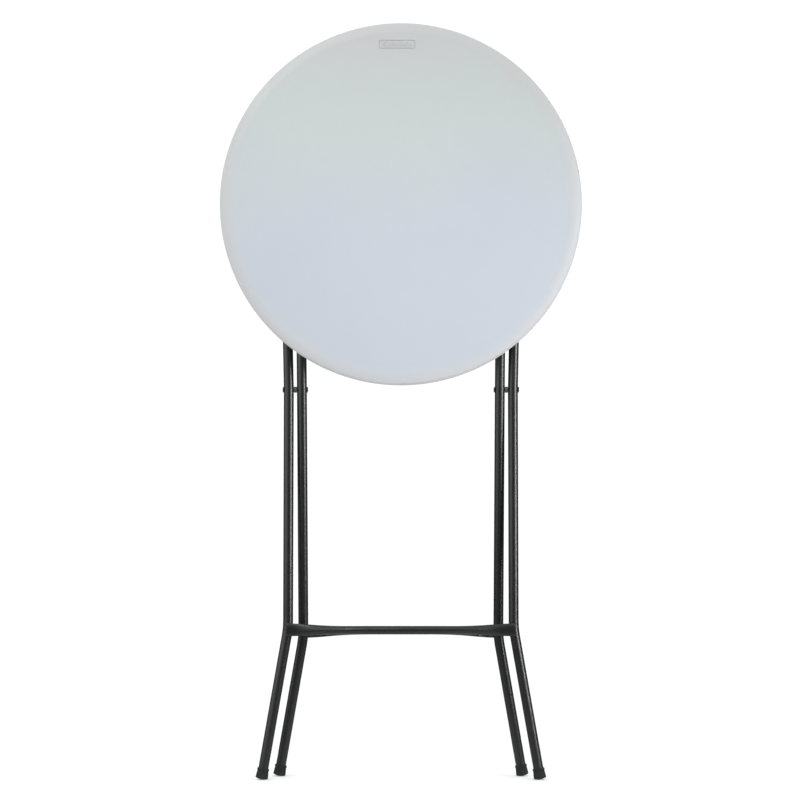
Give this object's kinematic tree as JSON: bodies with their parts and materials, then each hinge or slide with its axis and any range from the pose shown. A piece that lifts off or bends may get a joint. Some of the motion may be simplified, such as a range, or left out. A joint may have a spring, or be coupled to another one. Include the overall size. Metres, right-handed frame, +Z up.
{
  "type": "folding bistro table",
  "caption": "Round blow-moulded bar-height table on a scissor frame of black steel tube, stored folded flat, with footrest bars and a sprung latch.",
  "frame": {"origin": "on the floor, under the middle of the folded table", "axes": "+X along the hinge of the top, -Y the way the folded top faces, +Z up"},
  "size_m": [0.8381, 0.1561, 1.7523],
  "materials": {
    "white_top": "fine moulded satin",
    "black_steel": "satin powder coat",
    "black_rubber": "matte",
    "black_nylon": "moulded matte",
    "black_rivet": "black oxide",
    "zinc_steel": "bright zinc"
  },
  "bodies": {
    "pivots": {"pivot_rivet_left": "black_rivet", "pivot_rivet_right": "black_rivet", "pivot_spacer_left": "black_nylon", "pivot_spacer_right": "black_nylon"},
    "outer_frame": {"outer_leg_left": "black_steel", "outer_leg_right": "black_steel", "outer_top_bar": "black_steel", "outer_footrest_bar": "black_steel", "outer_foot_left": "black_rubber", "outer_foot_right": "black_rubber", "outer_tube_plugs": "black_nylon"},
    "inner_frame": {"inner_leg_left": "black_steel", "inner_leg_right": "black_steel", "inner_top_bar": "black_steel", "inner_footrest_bar": "black_steel", "inner_foot_left": "black_rubber", "inner_foot_right": "black_rubber", "inner_tube_plugs": "black_nylon"},
    "top": {"tabletop": "white_top", "hinge_bush_left": "black_nylon", "hinge_bush_right": "black_nylon", "hinge_strap_left": "black_steel", "hinge_strap_right": "black_steel", "hinge_screws": "zinc_steel", "catch_left": "black_nylon", "catch_right": "black_nylon", "catch_screws": "zinc_steel", "storage_clip_left": "black_nylon", "storage_clip_right": "black_nylon", "storage_clip_screws": "zinc_steel", "latch_bracket": "black_steel", "latch_pin": "zinc_steel", "latch_spring": "zinc_steel", "latch_screws": "zinc_steel"},
    "latch": {"latch_lever": "black_nylon"}
  },
  "joints": [
    {"name": "inner_fold", "type": "hinge", "parent": "pivots", "child": "inner_frame", "pos_m": [0, 0, 0.904], "axis": [1, 0, 0], "range_deg": [0, 27.6]},
    {"name": "outer_fold", "type": "hinge", "parent": "pivots", "child": "outer_frame", "pos_m": [0, 0, 0.904], "axis": [-1, 0, 0], "range_deg": [0, 27.6]},
    {"name": "top_tilt", "type": "hinge", "parent": "inner_frame", "child": "top", "pos_m": [0, -0.012, 1.19025], "axis": [-1, 0, 0], "range_deg": [0, 117.6]},
    {"name": "latch_release", "type": "hinge", "parent": "top", "child": "latch", "pos_m": [0, -0.01, 1.43725], "axis": [-1, 0, 0], "range_deg": [0, 30], "stiffness_Nm_per_rad": 0.06, "springref_deg": -34.38}
  ],
  "couplings": [
    {"joint": "outer_fold", "follows": "inner_fold", "ratio": 1}
  ]
}
